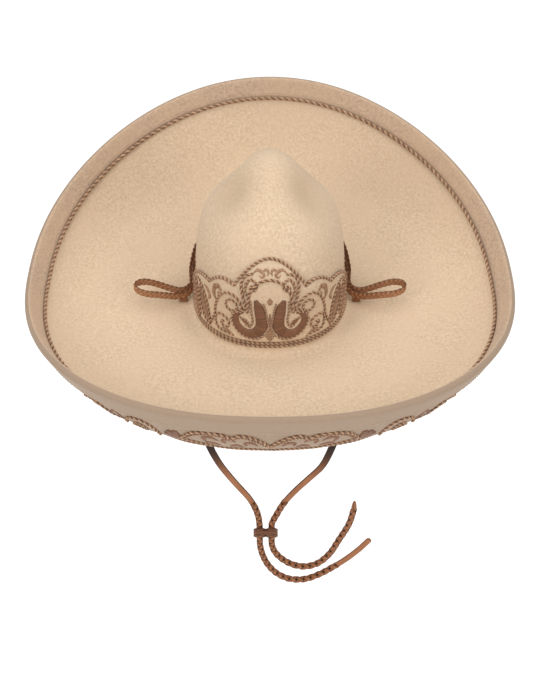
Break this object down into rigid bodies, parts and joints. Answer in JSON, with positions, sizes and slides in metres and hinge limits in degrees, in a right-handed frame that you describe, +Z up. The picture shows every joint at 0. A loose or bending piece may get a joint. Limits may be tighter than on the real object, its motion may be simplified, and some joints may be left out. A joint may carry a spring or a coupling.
{
  "type": "sombrero",
  "caption": "Wide felt hat with an upturned brim, a dented crown, an embroidered scalloped hatband, braided side loops and a chin strap with a slider.",
  "frame": {"origin": "centre of the head opening, level with the upper face of the brim beside the crown", "axes": "+Z up through the crown, -Y towards the front of the hat, +X towards the right as seen from the front"},
  "size_m": [0.5808, 0.5814, 0.6813],
  "materials": {
    "felt": "short brushed nap, matte",
    "under_felt": "short brushed nap, matte",
    "embroidery": "twisted thread, soft sheen",
    "lining": "satin weave, soft sheen",
    "sweatband_leather": "smooth, low sheen",
    "strap_leather": "braided, low sheen",
    "wire": "drawn wire"
  },
  "bodies": {
    "hat": {"crown_felt": "felt", "brim_felt": "felt", "band_front_panel": "felt", "band_back_panel": "felt", "under_brim_felt": "under_felt", "edge_binding": "under_felt", "rim_cord": "embroidery", "under_brim_embroidery": "embroidery", "band_front_edge_cord": "embroidery", "band_back_edge_cord": "embroidery", "band_foot_cord_upper": "embroidery", "band_foot_cord_lower": "embroidery", "band_front_arch": "embroidery", "band_back_arch": "embroidery", "band_front_bud": "embroidery", "band_back_bud": "embroidery", "band_front_paisley_right": "embroidery", "band_front_paisley_left": "embroidery", "band_front_scroll_right": "embroidery", "band_front_scroll_left": "embroidery", "band_front_leaf_right": "embroidery", "band_front_leaf_left": "embroidery", "band_back_paisley_right": "embroidery", "band_back_paisley_left": "embroidery", "band_back_scroll_right": "embroidery", "band_back_scroll_left": "embroidery", "band_back_leaf_right": "embroidery", "band_back_leaf_left": "embroidery", "crown_lining": "lining", "sweatband": "sweatband_leather", "sweatband_reed": "sweatband_leather", "sweatband_bow": "sweatband_leather", "brim_wire": "wire", "side_loop_right": "strap_leather", "side_loop_left": "strap_leather", "back_strap": "strap_leather"},
    "chin_strap": {"chin_strap_left": "strap_leather", "chin_strap_right": "strap_leather", "chin_tip_left": "strap_leather", "chin_tip_right": "strap_leather"},
    "slider": {"chin_slider": "strap_leather"}
  },
  "joints": [
    {"name": "chin_strap_swing", "type": "hinge", "parent": "hat", "child": "chin_strap", "pos_m": [0, 0, -0.0095], "axis": [1, 0, 0], "range_deg": [-70, 70]},
    {"name": "slider_slide", "type": "slide", "parent": "chin_strap", "child": "slider", "axis": [0, 0, 1], "range_m": [-0.008, 0.008]}
  ]
}
